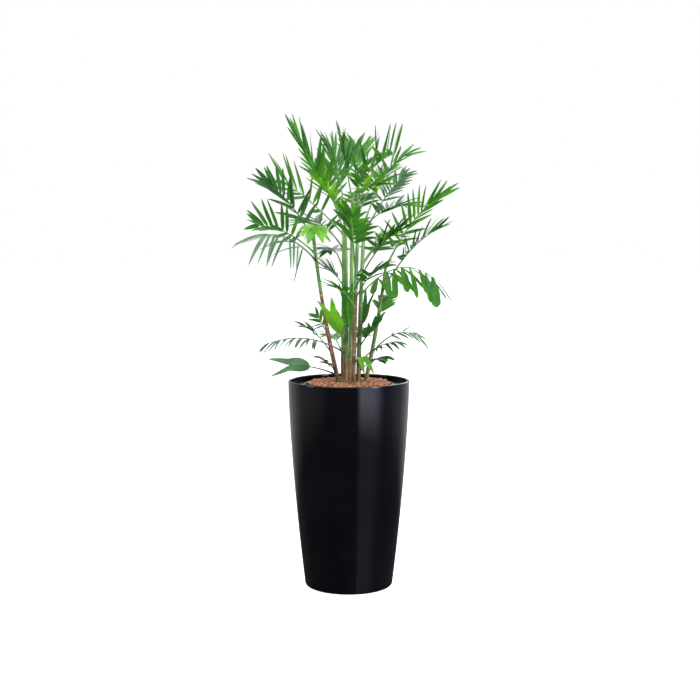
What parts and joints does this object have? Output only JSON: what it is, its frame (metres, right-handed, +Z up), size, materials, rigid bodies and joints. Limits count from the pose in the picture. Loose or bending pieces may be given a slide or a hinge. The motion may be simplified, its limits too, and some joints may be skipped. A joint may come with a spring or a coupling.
{
  "type": "potted bamboo palm",
  "caption": "Clump of slim upright palm canes with arching feather-shaped fronds, in a tall round tapered gloss planter topped with clay pebbles.",
  "frame": {"origin": "centre of the planter's flat underside, which stands on the floor", "axes": "+Z up the planter and the canes; +X to the right and -Y towards the viewer of the planter's front"},
  "size_m": [0.5994, 0.6529, 1.2788],
  "materials": {
    "planter_gloss": "high gloss",
    "insert_plastic": "satin",
    "root_ball": "rough",
    "clay_pebbles": "rough",
    "cane": "satin",
    "frond_mid": "satin",
    "frond_deep": "satin",
    "frond_bright": "satin",
    "frond_sage": "satin"
  },
  "bodies": {
    "root": {"planter": "planter_gloss", "planting_insert": "insert_plastic", "root_ball": "root_ball", "pebble_bed": "clay_pebbles", "cane_left": "cane", "cane_mid_left": "cane", "cane_centre": "cane", "cane_right": "cane", "cane_outer_right": "cane", "cane_back": "cane", "cane_back_left": "cane", "cane_front": "cane", "frond_left_high": "frond_deep", "frond_left_comb": "frond_mid", "frond_left_droop": "frond_sage", "frond_left_back": "frond_mid", "frond_left_front": "frond_bright", "frond_top_left": "frond_mid", "frond_top_centre": "frond_mid", "frond_top_spear": "frond_mid", "frond_top_right": "frond_mid", "frond_right_tip": "frond_mid", "frond_right_up": "frond_sage", "frond_right_fan": "frond_mid", "frond_right_dark": "frond_deep", "frond_right_droop": "frond_mid", "frond_front_high": "frond_bright", "frond_front_left_high": "frond_bright", "frond_front_right": "frond_deep", "frond_front_centre": "frond_mid", "frond_front_low": "frond_mid", "frond_front_right_low": "frond_deep", "frond_back_high": "frond_mid", "frond_back_right_high": "frond_mid", "frond_back_right": "frond_deep", "frond_back_centre": "frond_deep", "frond_back_left_high": "frond_mid", "frond_back_left_mid": "frond_deep", "frond_back_low": "frond_deep", "frond_back_right_low": "frond_deep", "frond_mid_right": "frond_mid", "frond_mid_left_low": "frond_deep", "frond_low_right_arch": "frond_sage", "frond_low_right_comb": "frond_deep", "frond_low_right_leaf": "frond_deep", "frond_low_right_slant": "frond_deep", "frond_low_right_back": "frond_mid", "frond_low_left_dark": "frond_deep", "frond_low_left_fan": "frond_mid", "frond_low_left_arch": "frond_sage", "frond_low_left_pair": "frond_sage", "frond_low_left_small": "frond_deep", "frond_low_back": "frond_deep", "frond_low_back_left": "frond_mid", "frond_young_left": "frond_bright", "frond_young_centre": "frond_mid", "frond_young_right": "frond_deep", "frond_young_front": "frond_bright"}
  },
  "joints": []
}
